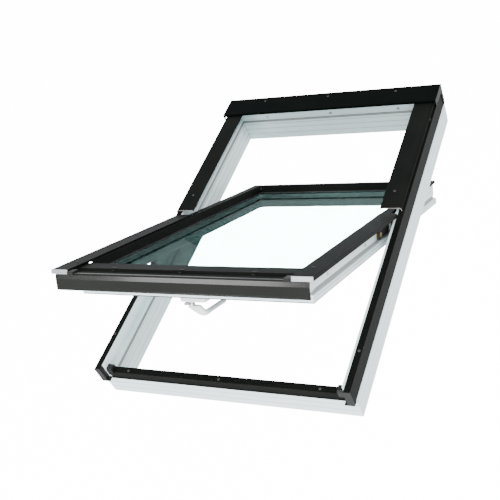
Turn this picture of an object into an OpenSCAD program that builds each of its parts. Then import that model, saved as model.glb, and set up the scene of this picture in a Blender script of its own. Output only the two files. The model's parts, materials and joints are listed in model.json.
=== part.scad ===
/* [Frame] */
// Width over the fixed frame
frame_w = 780; // [550:1:1140]
// Length of the fixed frame up the slope
frame_l = 1180; // [780:1:1600]
// Inside face of the frame jambs from the centre line
jamb_in = 350; // [240:1:530]
// Height of the jambs above the interior plane
jamb_z = 126.5; // [110:0.5:150]
// Height of the inner ledge of the jambs
ledge_z = 95; // [88:0.5:105]
// Thickness of the frame bottom member
bottom_t = 20; // [16:1:30]
// Thickness of the frame head
head_t = 40; // [30:1:60]

/* [Cladding] */
// Sheet thickness of cladding and covers
sheet = 1.5; // [1:0.1:2.5]
// Inner edge of the side cladding from the centre line
clad_in = 370.3; // [360:0.1:375]
// Inner face of the jamb's upright from the centre line
upright_in = 363; // [355:0.5:369]
// Top of the upper covers above the interior plane
upper_cover_z = 144; // [142:0.5:150]
// Top of the hood above the interior plane
hood_z = 152; // [148:0.5:165]
// Front edge of the hood from the centre of the window
hood_front = 507; // [480:1:540]

/* [Sash] */
// Half width over the interior flange of the sash
flange_x = 340; // [230:1:345]
// Half width of the clear sash opening
sash_open_x = 312; // [200:1:320]
// Bottom end of the sash body from the centre
sash_bot = -565; // [-567:1:-540]
// Top end of the sash flange from the centre
sash_top = 540; // [520:1:545]
// Opening angle of the sash as drawn
open_deg = 31.8; // [0:0.1:78]
// Height of the pivot axis above the interior plane
pivot_z = 128; // [124:0.5:132]

/* [Glass] */
// Thickness of each pane
pane_t = 4; // [3:0.5:6]
// Gap between the panes
pane_gap = 16; // [10:1:20]

/* [Hinge] */
// Radius of the pivot pins
pin_r = 5; // [4:0.5:7]
// Radial play of the pins in the sash hinge plates
pin_play = 0.05; // [0.02:0.01:0.1]

/* [Handle] */
// Distance of the handle spindle below the centre
spindle_y = -545; // [-552:1:-530]
// Distance of the handle spindle from the middle of the sash
spindle_x = -10; // [-12:1:0]
// Radius of the lever grip
grip_r = 6.5; // [5:0.5:9]

/* [Hidden] */
$fn = 48;

half_w = frame_w / 2;
half_l = frame_l / 2;
head_in = half_l - head_t;
bottom_in = -half_l + bottom_t;
clad_x = half_w - 3;
clad_out = clad_x + sheet;
clad_z = jamb_z + sheet;
side_seam_z = 75;
seal_z0 = 78;
seal_z1 = 86;
seal_depth = 4;
sash_wall_x = flange_x - 2;
sash_z0 = 55;
glass_z = 85;
rebate_x = sash_wall_x - 10;
rebate_top = 506;
rebate_bot = -550;
pane_x = rebate_x - 2;
pane_top = rebate_top - 2;
pane_bot = rebate_bot + 2;
outer_z = glass_z + pane_t + pane_gap;
glass_top = outer_z + pane_t;
spacer_w = 8;
apron_y = -637;
apron_x = 365.5;
nose_x = 361;
trim_y0 = -535.5;
cover_top = 141;
cover_in = 321.7;
cover_out = 375.5;
cover_rear = 4;
cover_lip_rear = -8;
sash_clad_z = 136;
upper_lo = 22;
upper_hi = 530;
upper_in = 318.5;
upper_out = 383;
upper_r = 8;
hinge_plate_x = sash_wall_x;
hinge_plate_t = 4;
cam_z0 = 27.8;
cam_z1 = 34;
striker_z0 = 35;
striker_z1 = 38.6;
block_top = 112;
brake_y = -86;
brake_z = 99.5;
base_z = 40;
base_y0 = -562;
base_y1 = -531;
handle_screw_x = [-28, 30];
striker_screw_x = [spindle_x - 14, spindle_x + 14];

// Turns closed sash coordinates about the pivot axis into the drawn opening
module opened() {
  translate([0, 0, pivot_z]) rotate([-open_deg, 0, 0]) translate([0, 0, -pivot_z]) children();
}

// Profile drawn as (x, z), run along Y from y0 to y1
module along_y(points, y0, y1) {
  translate([0, y1, 0]) rotate([90, 0, 0]) linear_extrude(height = y1 - y0) polygon(points);
}

// Profile drawn as (y, z), run along X from x0 to x1
module along_x(points, x0, x1) {
  translate([x0, 0, 0]) rotate([90, 0, 90]) linear_extrude(height = x1 - x0) polygon(points);
}

// Left or right copy of something drawn on the +X side
module side(s) {
  if (s > 0) children();
  else mirror([1, 0, 0]) children();
}

// Rectangular ring lying flat
module ring(x_out, x_in, y_lo, y_hi, in_lo, in_hi, z0, z1) {
  difference() {
    translate([-x_out, y_lo, z0]) cube([2 * x_out, y_hi - y_lo, z1 - z0]);
    translate([-x_in, in_lo, z0 - 1]) cube([2 * x_in, in_hi - in_lo, z1 - z0 + 2]);
  }
}

// Round shaft with a shallow pan head, head up, shaft down
module screw(x, y, z, r_head, h_head, r_shaft, l_shaft) {
  translate([x, y, z]) cylinder(r1 = r_head, r2 = r_head * 0.72, h = h_head);
  translate([x, y, z - l_shaft]) cylinder(r = r_shaft, h = l_shaft + 0.1);
}

// Round blind hole going down from z
module hole_down(x, y, z, r, depth) {
  translate([x, y, z - depth]) cylinder(r = r, h = depth + 1);
}

// ---- fixed frame ----

hood_screw_x = [-243, 0, 243];
head_plug_x = [-245, 0, 245];
bottom_screw_x = [-295, 0, 295];
side_hole_y = [-470, -160, 150];
side_hole_z = 54;
side_hole_r = 2.1;
side_hole_l = 30;
rivet_y = [-478, 440];
rivet_x = 380;
hinge_screw_y = [-30, 30];
hinge_screw_x = 359.4;
clip_y = [60, 280, 490];
bracket_y0 = 84;
bracket_y1 = 104;

module jamb_profile_run() {
  along_y([
    [jamb_in, 0], [half_w - 1.5, 0], [half_w, 28], [half_w, side_seam_z], [clad_x, side_seam_z],
    [clad_x, jamb_z], [upright_in, jamb_z], [upright_in, ledge_z], [jamb_in, ledge_z],
    [jamb_in, seal_z1], [jamb_in + seal_depth, seal_z1], [jamb_in + seal_depth, seal_z0],
    [jamb_in, seal_z0], [jamb_in, 60], [jamb_in - 1, 59], [jamb_in - 1, 57], [jamb_in, 56]
  ], -half_l, half_l);
}

module frame_pvc() {
  color([0.92, 0.94, 0.95])
  difference() {
    union() {
      side(1) jamb_profile_run();
      side(-1) jamb_profile_run();
      along_x([
        [-half_l, 0], [bottom_in, 0], [bottom_in, 97], [-half_l, 97]
      ], -jamb_in - 10, jamb_in + 10);
      along_x([
        [head_in, 0], [half_l, 0], [half_l, jamb_z], [head_in, jamb_z],
        [head_in, seal_z1], [head_in + seal_depth, seal_z1],
        [head_in + seal_depth, seal_z0], [head_in, seal_z0]
      ], -jamb_in - 10, jamb_in + 10);
    }
    for (s = [-1, 1])
      for (y = side_hole_y)
        translate([s * half_w, y, side_hole_z])
          rotate([0, s * 90, 0])
            translate([0, 0, -side_hole_l])
              cylinder(r = side_hole_r, h = side_hole_l + 1);
    translate([0, -half_l - 1, 47]) rotate([-90, 0, 0]) cylinder(r = side_hole_r, h = 15);
    for (x = hood_screw_x) hole_down(x, 573, jamb_z, 2.2, 16);
    for (x = bottom_screw_x) hole_down(x, -583, 97, 2.2, 12);
    for (x = head_plug_x)
      translate([x, head_in + 8, 98]) rotate([90, 0, 0]) cylinder(r = 4, h = 9);
    for (s = [-1, 1]) for (y = rivet_y) hole_down(s * rivet_x, y, jamb_z, 2.2, 9);
    for (s = [-1, 1]) for (y = hinge_screw_y) hole_down(s * hinge_screw_x, y, ledge_z, 2.2, 14);
    for (x = striker_screw_x)
      translate([x, bottom_in + 1, 20]) rotate([90, 0, 0]) cylinder(r = 2.2, h = 13);
  }
}

module frame_seal() {
  color([0.45, 0.47, 0.48]) {
    for (s = [-1, 1]) side(s)
      along_y([
        [jamb_in + seal_depth, seal_z0], [jamb_in + seal_depth, seal_z1],
        [jamb_in - 2, seal_z1], [jamb_in - 5, seal_z0 + 5], [jamb_in - 5, seal_z0 + 3],
        [jamb_in - 2, seal_z0]
      ], bottom_in + 1, head_in - 6);
    along_x([
      [head_in + seal_depth, seal_z0], [head_in + seal_depth, seal_z1],
      [head_in - 2, seal_z1], [head_in - 4, seal_z0 + 5], [head_in - 4, seal_z0 + 3],
      [head_in - 2, seal_z0]
    ], -jamb_in + 1, jamb_in - 1);
  }
}

module frame_bottom_cladding() {
  color([0.16, 0.18, 0.18])
  difference() {
    along_x([
      [bottom_in - 1, 97], [bottom_in - 1, 97 + sheet], [-half_l - sheet, 97 + sheet],
      [-half_l - sheet, 74], [-half_l - 4, 71], [-half_l - 3, 70], [-half_l, 73], [-half_l, 97]
    ], -clad_in + 9.2, clad_in - 9.2);
    for (x = bottom_screw_x) translate([x, -583, 90]) cylinder(r = 2.4, h = 12);
  }
}

module side_cladding(s) {
  color([0.17, 0.18, 0.17])
  side(s) difference() {
    along_y([
      [clad_out, side_seam_z], [clad_out, clad_z - 1], [clad_out - 1, clad_z],
      [clad_in, clad_z], [clad_in, jamb_z], [clad_x, jamb_z], [clad_x, side_seam_z]
    ], -605, half_l);
    for (y = rivet_y) translate([rivet_x, y, jamb_z - 1]) cylinder(r = 2.4, h = 4);
  }
}

module end_cap(s) {
  color([0.1, 0.1, 0.1])
  side(s) {
    translate([clad_in + 1, -605, side_seam_z + 1]) cube([15.6, 14.8, jamb_z - side_seam_z - 1.2]);
    translate([clad_in - 0.5, -607, side_seam_z])
      cube([clad_out - clad_in + 1, 2, clad_z - side_seam_z + 0.5]);
    translate([clad_in - 9, -607, 71]) cube([clad_out - clad_in + 9, 15, 4]);
  }
}

module cladding_rivets() {
  color([0.6, 0.61, 0.62])
  for (s = [-1, 1]) for (y = rivet_y) screw(s * rivet_x, y, clad_z, 4, 1.2, 2.2, 9);
}

module head_hood() {
  color([0.12, 0.14, 0.13])
  difference() {
    along_x([
      [hood_front, hood_z - 8], [hood_front - 1.2, hood_z - 7], [hood_front - 1.2, hood_z - 2],
      [hood_front + 1, hood_z], [594, hood_z], [595, hood_z - 1], [595, 78], [595 - sheet, 78],
      [595 - sheet, hood_z - sheet], [hood_front + 1.6, hood_z - sheet],
      [hood_front + 0.4, hood_z - 2.8], [hood_front + 0.4, hood_z - 6.6],
      [hood_front + 4, hood_z - 6.6], [hood_front + 4, hood_z - 8]
    ], -389.5, 389.5);
    for (x = hood_screw_x) translate([x, 573, hood_z - 4]) cylinder(r = 2.4, h = 8);
  }
}

module hood_end(s) {
  color([0.1, 0.1, 0.1])
  side(s) along_x([
    [hood_front - 2, 133], [hood_front - 2, hood_z + 0.5], [595.5, hood_z + 0.5], [595.5, 78],
    [584, 78], [578, 130], [hood_front + 16, 131], [hood_front + 12, 136],
    [hood_front + 6, 136], [hood_front + 5, 130], [hood_front, 129]
  ], 389.5, 391);
}

module hood_spacers() {
  color([0.25, 0.25, 0.25])
  for (x = hood_screw_x) difference() {
    translate([x - 14, 558, jamb_z]) cube([28, 30, hood_z - sheet - jamb_z]);
    translate([x, 573, jamb_z - 1]) cylinder(r = 2.4, h = 30);
  }
}

module hood_screws() {
  color([0.62, 0.63, 0.64])
  for (x = hood_screw_x) screw(x, 573, hood_z, 4, 2, 2.2, 40);
}

module upper_cover(s) {
  top_in = upper_cover_z - sheet;
  color([0.17, 0.18, 0.17])
  side(s) difference() {
    union() {
      along_y([
        [upper_in, upper_cover_z - 5], [upper_in, upper_cover_z - 0.8], [upper_in + 0.8, upper_cover_z],
        [upper_out - upper_r, upper_cover_z], [upper_out - upper_r, top_in],
        [upper_in + sheet, top_in], [upper_in + sheet, upper_cover_z - 5]
      ], upper_lo, upper_hi);
      intersection() {
        translate([upper_out - upper_r, upper_hi, upper_cover_z - upper_r])
          rotate([90, 0, 0]) difference() {
            cylinder(r = upper_r, h = upper_hi - upper_lo);
            translate([0, 0, -1]) cylinder(r = upper_r - sheet, h = upper_hi - upper_lo + 2);
          }
        translate([upper_out - upper_r, upper_lo, upper_cover_z - upper_r])
          cube([upper_r + 1, upper_hi - upper_lo, upper_r + 1]);
      }
      translate([upper_out - sheet, upper_lo, 132])
        cube([sheet, upper_hi - upper_lo, upper_cover_z - upper_r - 132]);
    }
    translate([347, 94, upper_cover_z - 4]) cylinder(r = 2.4, h = 8);
  }
}

module cover_bracket(s) {
  top = upper_cover_z - sheet;
  color([0.5, 0.5, 0.5])
  side(s) difference() {
    union() {
      translate([352, bracket_y0, ledge_z]) cube([3, bracket_y1 - bracket_y0, top - ledge_z]);
      translate([341, bracket_y0, top - 3]) cube([14, bracket_y1 - bracket_y0, 3]);
      translate([352, bracket_y0, ledge_z]) cube([10.8, bracket_y1 - bracket_y0, 3]);
    }
    translate([347, 94, top - 5]) cylinder(r = 2.25, h = 8);
  }
}

module upper_cover_clips() {
  color([0.2, 0.2, 0.2])
  for (s = [-1, 1]) for (y = clip_y)
    side(s) translate([373, y, clad_z]) cube([2, 20, upper_cover_z - sheet - clad_z]);
}

module upper_cover_screws() {
  color([0.62, 0.63, 0.64])
  for (s = [-1, 1]) screw(s * 347, 94, upper_cover_z, 4, 2, 2.2, 5.5);
}

module bottom_cladding_screws() {
  color([0.62, 0.63, 0.64])
  for (x = bottom_screw_x) screw(x, -583, 97 + sheet, 4, 1.8, 2.2, 12);
}

// Plastic blocks hooked over the two ends of the bottom sheet
module corner_blocks() {
  top = 97 + sheet;
  front = -half_l - sheet;
  color([0.1, 0.11, 0.09])
  for (s = [-1, 1]) side(s)
    along_x([
      [front - 2, 86], [front - 2, block_top - 4], [front + 2, block_top], [bottom_in - 5, block_top],
      [bottom_in - 1.5, block_top - 3.5], [bottom_in - 1.5, top], [front, top], [front, 86]
    ], 346, upright_in);
}

module head_plugs() {
  color([0.55, 0.56, 0.57])
  for (x = head_plug_x)
    translate([x, head_in + 7, 98]) rotate([90, 0, 0]) {
      cylinder(r = 3.95, h = 7);
      translate([0, 0, 7]) cylinder(r1 = 6, r2 = 4.5, h = 1.5);
    }
}

module lock_striker() {
  color([0.66, 0.67, 0.68])
  difference() {
    union() {
      translate([spindle_x - 24, bottom_in, 12]) cube([48, 2, striker_z1 - 12]);
      translate([spindle_x - 24, bottom_in, striker_z0]) cube([48, 11, striker_z1 - striker_z0]);
    }
    for (x = striker_screw_x)
      translate([x, bottom_in + 3, 20]) rotate([90, 0, 0]) cylinder(r = 2.3, h = 4);
  }
}

module striker_screws() {
  color([0.62, 0.63, 0.64])
  for (x = striker_screw_x)
    translate([x, bottom_in + 2, 20]) rotate([-90, 0, 0]) screw(0, 0, 0, 4, 1.6, 2.2, 12);
}

module hinge_frame_plate(s) {
  color([0.5, 0.42, 0.24])
  side(s) difference() {
    union() {
      along_x([
        [-40, ledge_z], [40, ledge_z], [40, ledge_z + 4], [14, 108], [8, 112], [8, pivot_z],
        [-8, pivot_z], [-8, 112], [-14, 108], [-40, ledge_z + 4]
      ], 352, 356);
      translate([342.4, 0, pivot_z]) rotate([0, 90, 0]) cylinder(r = 8, h = 13.6);
      translate([352, -40, ledge_z]) cube([10.8, 80, 3]);
    }
    translate([341, 0, pivot_z]) rotate([0, 90, 0]) cylinder(r = pin_r, h = 17);
    for (y = hinge_screw_y) translate([hinge_screw_x, y, ledge_z - 1]) cylinder(r = 2.4, h = 6);
  }
}

module pivot_pin(s) {
  color([0.72, 0.72, 0.72])
  side(s) translate([hinge_plate_x + 0.4, 0, pivot_z]) rotate([0, 90, 0]) {
    cylinder(r = pin_r, h = 17.6);
    translate([0, 0, 17.6]) cylinder(r = 7.5, h = 2.5);
  }
}

module hinge_frame_screws() {
  color([0.62, 0.63, 0.64])
  for (s = [-1, 1]) for (y = hinge_screw_y) screw(s * hinge_screw_x, y, ledge_z + 3, 3.2, 2, 2.2, 14);
}

// ---- sash, drawn closed and turned by opened() ----

module sash_side_profile(y0, y1) {
  along_y([
    [sash_open_x, sash_z0 + 7], [sash_open_x + 6, sash_z0], [flange_x, sash_z0],
    [flange_x, 72], [332, 74], [332, 84], [sash_wall_x, 86], [sash_wall_x, 125.5],
    [rebate_x, 125.5], [rebate_x, 84], [sash_open_x, 84]
  ], y0, y1);
}

module sash_pvc() {
  color([0.93, 0.95, 0.96])
  opened() difference() {
    union() {
      difference() {
        union() {
          side(1) sash_side_profile(sash_bot, sash_top);
          side(-1) sash_side_profile(sash_bot, sash_top);
        }
        translate([-400, 516, 72]) cube([800, 40, 70]);
      }
      along_x([
        [492, sash_z0 + 7], [498, sash_z0], [sash_top, sash_z0], [sash_top, 72], [516, 72],
        [516, 125.5], [rebate_top, 125.5], [rebate_top, 84], [492, 84]
      ], -rebate_x - 2, rebate_x + 2);
      along_x([
        [-520, sash_z0 + 7], [-526, sash_z0], [sash_bot, sash_z0], [sash_bot, 84],
        [-520, 84]
      ], -rebate_x - 2, rebate_x + 2);
      along_x([
        [sash_bot, 80], [sash_bot, 101], [-626, 101], [-626, 84], [-635, 84], [-635, 113],
        [-630.5, 124], [-630.5, 125.5], [rebate_bot, 125.5], [rebate_bot, 80]
      ], -rebate_x - 2, rebate_x + 2);
      for (s = [-1, 1]) side(s)
        along_x([
          [sash_bot + 4, block_top + 2], [-600, block_top + 2], [-600, 101], [-626, 101], [-626, 84],
          [-635, 84], [-635, 113], [-630.5, 124], [-630.5, 125.5], [sash_bot + 4, 125.5]
        ], rebate_x - 2, nose_x);
    }
    for (s = [-1, 1]) for (y = [-80, -24])
      translate([s * 335, y, 118]) rotate([0, s * 90, 0]) cylinder(r = 2.2, h = 6);
    for (s = [-1, 1]) for (y = [-465, -190])
      translate([s * 332.5, y, 95]) rotate([0, s * 90, 0]) cylinder(r = 2.2, h = 8);
    for (x = handle_screw_x) translate([x, -550, 54]) cylinder(r = 2.2, h = 9);
    translate([spindle_x, spindle_y, 54]) cylinder(r = 6, h = 12);
  }
}

module pane(z) {
  translate([-pane_x, pane_bot, z]) cube([2 * pane_x, pane_top - pane_bot, pane_t]);
}

module inner_pane() {
  color([0.75, 0.85, 0.85, 0.4]) opened() pane(glass_z);
}

module outer_pane() {
  color([0.75, 0.85, 0.85, 0.4]) opened() pane(outer_z);
}

module pane_spacer() {
  color([0.55, 0.56, 0.57])
  opened() ring(pane_x - 4, pane_x - 4 - spacer_w, pane_bot + 4, pane_top - 2,
    pane_bot + 12, pane_top - 10, glass_z + pane_t, outer_z);
}

module inner_gasket() {
  color([0.08, 0.08, 0.08])
  opened() ring(pane_x, sash_open_x + 0.5, pane_bot, pane_top, -519.5, 491.5, glass_z - 1, glass_z);
}

module outer_gasket() {
  color([0.08, 0.08, 0.08])
  opened() ring(pane_x, 309, pane_bot, pane_top, -533, 494.5, glass_top, glass_top + 3);
}

module sash_cladding(s) {
  color([0.14, 0.15, 0.15])
  opened() side(s) along_y([
    [328, 125.7], [328, sash_clad_z], [345, sash_clad_z], [345, 127],
    [345 - sheet, 127], [345 - sheet, sash_clad_z - sheet],
    [328 + sheet, sash_clad_z - sheet], [328 + sheet, 125.7]
  ], -546.5, trim_y0);
  color([0.14, 0.15, 0.15])
  opened() side(s) difference() {
    along_y([
      [310.5, glass_top + 3], [317, sash_clad_z], [345, sash_clad_z], [345, 127],
      [345 - sheet, 127], [345 - sheet, sash_clad_z - sheet], [318.2, sash_clad_z - sheet],
      [312.4, glass_top + 3]
    ], trim_y0, 520);
    translate([334, -104, 110]) cube([20, 120, 40]);
    translate([300, rebate_top - 0.5, 100]) cube([30, 30, 25.8]);
  }
}

module sash_cladding_top() {
  color([0.14, 0.15, 0.15])
  opened() along_x([
    [496, glass_top + 3], [502, sash_clad_z], [520, sash_clad_z], [520, 127],
    [520 - sheet, 127], [520 - sheet, sash_clad_z - sheet], [503.2, sash_clad_z - sheet],
    [497.9, glass_top + 3]
  ], -310, 310);
}

module sash_seal() {
  color([0.12, 0.12, 0.12])
  opened() for (s = [-1, 1]) side(s)
    along_y([
      [332, 75], [332, 83], [336, 84], [337, 82], [337, 76], [336, 74.5]
    ], sash_bot + 2, 514);
}

module sash_inner_gasket() {
  color([0.12, 0.12, 0.12])
  opened() ring(flange_x, flange_x - 5, sash_bot, sash_top, sash_bot + 2.5, sash_top - 5,
    sash_z0 - 2.5, sash_z0);
}

module sash_cover(s) {
  color([0.19, 0.19, 0.19])
  opened() side(s) difference() {
    along_y([
      [cover_in, cover_top - 4.5], [cover_in, cover_top - 0.8], [cover_in + 0.8, cover_top],
      [cover_out - 1.5, cover_top], [cover_out, cover_top - 1.5], [cover_out, cover_top - 11.3],
      [cover_out - sheet, cover_top - 11.3], [cover_out - sheet, cover_top - 2.2],
      [cover_out - 2.2, cover_top - sheet], [cover_in + sheet, cover_top - sheet],
      [cover_in + sheet, cover_top - 4.5]
    ], apron_y + 2, cover_rear);
    translate([upright_in - 1, cover_lip_rear, 120]) cube([20, 30, 30]);
    for (y = [-561, -103]) translate([346, y, cover_top - 4]) cylinder(r = 2.4, h = 8);
  }
}

module cover_end(s) {
  color([0.5, 0.52, 0.52])
  opened() side(s) difference() {
    translate([cover_in - 0.2, apron_y, 129]) cube([cover_out - cover_in + 0.4, 2, cover_top - 128.8]);
    translate([cover_in + 3, apron_y - 1, 126]) cube([40, 1.8, 10]);
  }
}

sash_clip_y = [-570, -330, -112];

module sash_cover_clips() {
  color([0.2, 0.2, 0.2])
  opened() for (s = [-1, 1]) for (y = sash_clip_y) side(s) difference() {
    translate([336, y, y < -560 ? 134 : sash_clad_z]) cube([18, 18, y < -560 ? 5.5 : 3.5]);
    translate([346, y < -560 ? -561 : -103, 130]) cylinder(r = 2.25, h = 12);
  }
}

module sash_cover_screws() {
  color([0.62, 0.63, 0.64])
  opened() for (s = [-1, 1]) for (y = [-561, -103]) screw(s * 346, y, cover_top, 4, 2, 2.2, 4.8);
}

module bottom_apron() {
  color([0.22, 0.22, 0.2])
  opened() along_x([
    [apron_y + 1.5, 86], [apron_y - 1, 86], [apron_y - 1, 88], [apron_y, 89.5], [apron_y, 115.2],
    [apron_y + 3, 127.4], [apron_y + 4.5, 128], [apron_y + 4.5, 131], [apron_y, 131], [apron_y, 132.6],
    [apron_y + 6.4, 132.6], [apron_y + 6.4, 126.4], [apron_y + 4.2, 125.6], [apron_y + 1.5, 115]
  ], -apron_x + 45, apron_x - 45);
  color([0.22, 0.22, 0.2])
  opened() for (s = [-1, 1]) side(s)
    along_x([
      [apron_y + 1.5, 86], [apron_y - 1, 86], [apron_y - 1, 88], [apron_y, 89.5], [apron_y, 115.2],
      [apron_y + 3, 127.4], [apron_y + 4.5, 128], [apron_y + 6.4, 128], [apron_y + 6.4, 126.4],
      [apron_y + 4.2, 125.6], [apron_y + 1.5, 115]
    ], apron_x - 45, apron_x);
}

module glazing_cap() {
  color([0.2, 0.21, 0.21])
  opened() union() {
    along_x([
      [-536, glass_top + 3], [-546, 134], [-592, 134], [-596, 128], [-630.4, 128],
      [-630.4, 126.4], [-595.2, 126.4], [-591.2, 132.5], [-547, 132.5], [-538, glass_top + 3]
    ], -rebate_x + 1, rebate_x - 1);
    for (s = [-1, 1]) side(s) along_x([
      [-547, 132.5], [-547, 134], [-592, 134], [-596, 128], [-630.4, 128],
      [-630.4, 126.4], [-595.2, 126.4], [-591.2, 132.5]
    ], rebate_x - 1, nose_x);
  }
}

module glazing_cap_clips() {
  color([0.1, 0.1, 0.1])
  opened() for (x = [-205, 0, 205]) {
    translate([x - 7, -591, 134]) cube([14, 6, 1.8]);
    translate([x - 4, -599, 128]) cube([8, 3, 3.4]);
  }
}

module apron_clip(s) {
  color([0.07, 0.07, 0.07])
  opened() side(s) {
    translate([303, -640, 128]) cube([18, 3, 9]);
    translate([303, -637, 132.6]) cube([18, 22, 4.4]);
    translate([306, -624, 128]) cube([12, 9, 4.7]);
  }
}

module hinge_sash_plate(s) {
  color([0.55, 0.45, 0.25])
  opened() side(s) difference() {
    union() {
      along_x([
        [-96, 92], [-96, 126], [-84, 132], [-30, 134], [0, pivot_z + 8], [8, pivot_z], [6, 116],
        [-10, 106], [-60, 92]
      ], hinge_plate_x, hinge_plate_x + hinge_plate_t);
      translate([hinge_plate_x + hinge_plate_t - 1, brake_y, brake_z]) rotate([0, 90, 0])
        cylinder(r = 7, h = 8.9);
      translate([hinge_plate_x, 0, pivot_z]) rotate([0, 90, 0]) cylinder(r = 8, h = hinge_plate_t);
    }
    translate([hinge_plate_x - 1, 0, pivot_z]) rotate([0, 90, 0])
      cylinder(r = pin_r + pin_play, h = hinge_plate_t + 2);
    for (y = [-80, -24])
      translate([hinge_plate_x - 1, y, 118]) rotate([0, 90, 0]) cylinder(r = 2.4, h = 8);
  }
}

// Plastic bodies of the friction brakes, held by the round brake studs of the plates
module hinge_bodies() {
  x0 = hinge_plate_x + hinge_plate_t;
  color([0.06, 0.06, 0.06])
  opened() for (s = [-1, 1]) side(s) difference() {
    along_x([
      [-104, 88], [-104, 106], [-98, 112.5], [-14, 112.5], [-14, 100], [-24, 88]
    ], x0, x0 + 7.4);
    translate([x0 - 1, brake_y, brake_z]) rotate([0, 90, 0]) cylinder(r = 7.3, h = 10);
  }
}

module hinge_sash_screws() {
  color([0.62, 0.63, 0.64])
  opened() for (s = [-1, 1]) for (y = [-80, -24])
    translate([s * (hinge_plate_x + hinge_plate_t), y, 118]) rotate([0, s * 90, 0])
      screw(0, 0, 0, 4.2, 1.6, 2.2, 6);
}

module sash_side_screws() {
  color([0.62, 0.63, 0.64])
  opened() for (s = [-1, 1]) for (y = [-465, -190])
    translate([s * sash_wall_x, y, 95]) rotate([0, s * 90, 0]) screw(0, 0, 0, 4.4, 1.6, 2.2, 5);
}

module handle_base() {
  color([0.9, 0.92, 0.93])
  opened() difference() {
    union() {
      translate([-36, base_y0, base_z]) cube([76, base_y1 - base_y0, sash_z0 - base_z]);
      translate([spindle_x, spindle_y, base_z - 0.6]) cylinder(r = 8, h = 1);
    }
    translate([spindle_x, spindle_y, base_z - 2]) cylinder(r = 4.05, h = 20);
    for (x = handle_screw_x) translate([x, -550, base_z - 1]) cylinder(r = 2.3, h = 20);
  }
}

module handle_screws() {
  color([0.62, 0.63, 0.64])
  opened() for (x = handle_screw_x)
    translate([x, -550, base_z]) rotate([180, 0, 0]) screw(0, 0, 0, 3.6, 1.4, 2.2, 22);
}

// ---- handle, turning with its cam on the spindle ----

module handle_lever() {
  grip_x = 24;
  grip_z = 6.5;
  grip_y1 = -442;
  color([0.95, 0.96, 0.97])
  opened() union() {
    translate([spindle_x, spindle_y, 26]) cylinder(r = 4, h = 34);
    lever_arm();
    translate([grip_x, spindle_y, grip_z]) rotate([-90, 0, 0])
      cylinder(r1 = grip_r + 0.8, r2 = grip_r, h = grip_y1 - spindle_y);
    translate([grip_x, grip_y1, grip_z]) sphere(r = grip_r);
  }
}

// Flat arm from the spindle down to the grip, drawn as (x, z) and cut square to Y
module lever_arm() {
  along_y([
    [-29, 27.5], [-29, 24.5], [-26, 21], [4, 2.5], [10, 0], [24, -1.5], [29, 1], [31.5, 8], [30.5, 15],
    [20, 27.5]
  ], spindle_y - 7.5, spindle_y + 7.5);
}

module latch_cam() {
  color([0.66, 0.67, 0.68])
  opened() translate([spindle_x, spindle_y, 0]) difference() {
    union() {
      translate([0, 0, cam_z0]) cylinder(r = 8, h = cam_z1 - cam_z0);
      translate([-21, -5, cam_z0]) cube([21, 10, cam_z1 - cam_z0]);
    }
    translate([0, 0, cam_z0 - 1]) cylinder(r = 4, h = cam_z1 - cam_z0 + 2);
  }
}

frame_pvc();
frame_seal();
frame_bottom_cladding();
side_cladding(-1);  // side_cladding_left
side_cladding(1);  // side_cladding_right
end_cap(-1);  // end_cap_left
end_cap(1);  // end_cap_right
cladding_rivets();
head_hood();
hood_end(-1);  // hood_end_left
hood_end(1);  // hood_end_right
hood_spacers();
hood_screws();
upper_cover(-1);  // upper_cover_left
upper_cover(1);  // upper_cover_right
cover_bracket(-1);  // cover_bracket_left
cover_bracket(1);  // cover_bracket_right
upper_cover_clips();
upper_cover_screws();
bottom_cladding_screws();
corner_blocks();
head_plugs();
lock_striker();
striker_screws();
hinge_frame_plate(-1);  // hinge_frame_plate_left
hinge_frame_plate(1);  // hinge_frame_plate_right
pivot_pin(-1);  // pivot_pin_left
pivot_pin(1);  // pivot_pin_right
hinge_frame_screws();
sash_pvc();
inner_pane();
outer_pane();
pane_spacer();
outer_gasket();
inner_gasket();
sash_cladding(-1);  // sash_cladding_left
sash_cladding(1);  // sash_cladding_right
sash_cladding_top();
sash_seal();
sash_inner_gasket();
sash_cover(-1);  // sash_cover_left
sash_cover(1);  // sash_cover_right
cover_end(-1);  // cover_end_left
cover_end(1);  // cover_end_right
sash_cover_clips();
sash_cover_screws();
bottom_apron();
glazing_cap();
glazing_cap_clips();
apron_clip(-1);  // apron_clip_left
apron_clip(1);  // apron_clip_right
hinge_sash_plate(-1);  // hinge_sash_plate_left
hinge_sash_plate(1);  // hinge_sash_plate_right
hinge_bodies();
hinge_sash_screws();
sash_side_screws();
handle_base();
handle_screws();
handle_lever();
latch_cam();
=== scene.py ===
# %% [markdown]
# # A centre-pivot roof skylight
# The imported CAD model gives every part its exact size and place. This script
# gives those parts their finishes, and swaps the pressed sheet covers, the
# screws and the handle for finer surfaces with rounded edges.
# Units are metres. +X runs across the window, +Y up the slope to the hood, and
# +Z straight out of the roof.

# %% Load the frame
import json
import math
import bmesh
import bpy
import numpy as np
from mathutils import Matrix, Vector


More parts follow.
